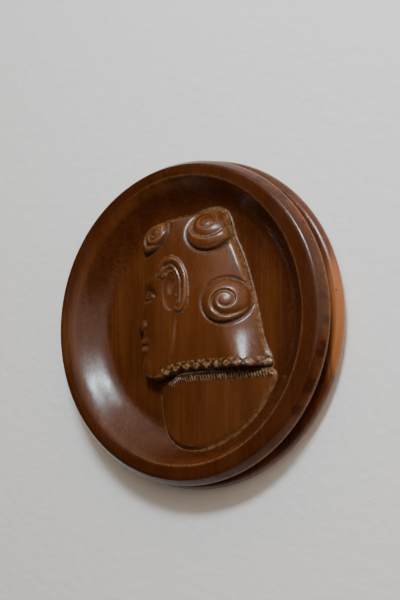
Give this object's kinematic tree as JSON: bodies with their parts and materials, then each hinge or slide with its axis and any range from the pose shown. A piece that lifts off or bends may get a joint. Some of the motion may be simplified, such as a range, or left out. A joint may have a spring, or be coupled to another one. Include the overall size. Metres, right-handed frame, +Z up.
{
  "type": "carved wooden wall bowl",
  "caption": "Shallow round wooden bowl for a wall, with a broad lip, a grooved side, a head in profile carved in relief inside it and a D-ring hanger in its back.",
  "frame": {"origin": "centre of the flat back face, on the plane of the wall", "axes": "+Y into the wall, so the bowl opens towards -Y; +Z up along the upright head; +X to the viewer's right"},
  "size_m": [0.3078, 0.0345, 0.3078],
  "materials": {
    "wood": "waxed and polished",
    "steel": "zinc plated, dulled",
    "brass": "tarnished"
  },
  "bodies": {
    "bowl": {"bowl": "wood", "hanger_strap": "steel", "hanger_screw_upper": "brass", "hanger_screw_lower": "brass"},
    "ring": {"hanger_ring": "steel"}
  },
  "joints": [
    {"name": "ring_swing", "type": "hinge", "parent": "bowl", "child": "ring", "pos_m": [0, -0.004, 0.078], "axis": [-1, 0, 0], "range_deg": [0, 175]}
  ]
}
